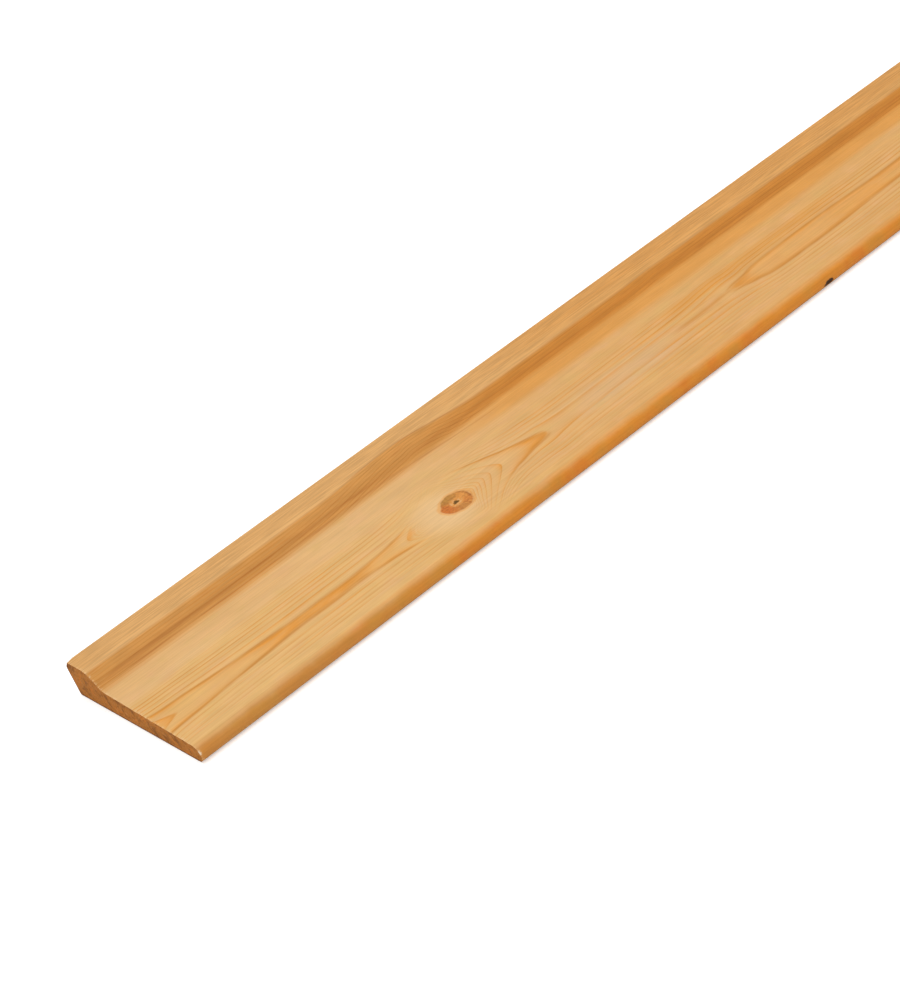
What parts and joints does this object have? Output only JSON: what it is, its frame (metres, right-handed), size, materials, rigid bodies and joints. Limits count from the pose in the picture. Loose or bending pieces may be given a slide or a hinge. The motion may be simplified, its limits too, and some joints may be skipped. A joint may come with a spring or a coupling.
{
  "type": "skirting board length",
  "caption": "Length of solid pine skirting board with a thick square foot, an ogee down to a wide tapering field, and a thin half-round nose.",
  "frame": {"origin": "under the middle of the board, in the plane of its flat back, which lies on the floor", "axes": "+X along the length and the grain, +Y across the board towards the thick foot edge, +Z out of the moulded face, square to the back"},
  "size_m": [2.4, 0.069, 0.012],
  "materials": {
    "pine": "bare planed pine, unvarnished, warm honey colour, sawn end grain at both ends"
  },
  "bodies": {
    "root": {"skirting_board": "pine"}
  },
  "joints": []
}
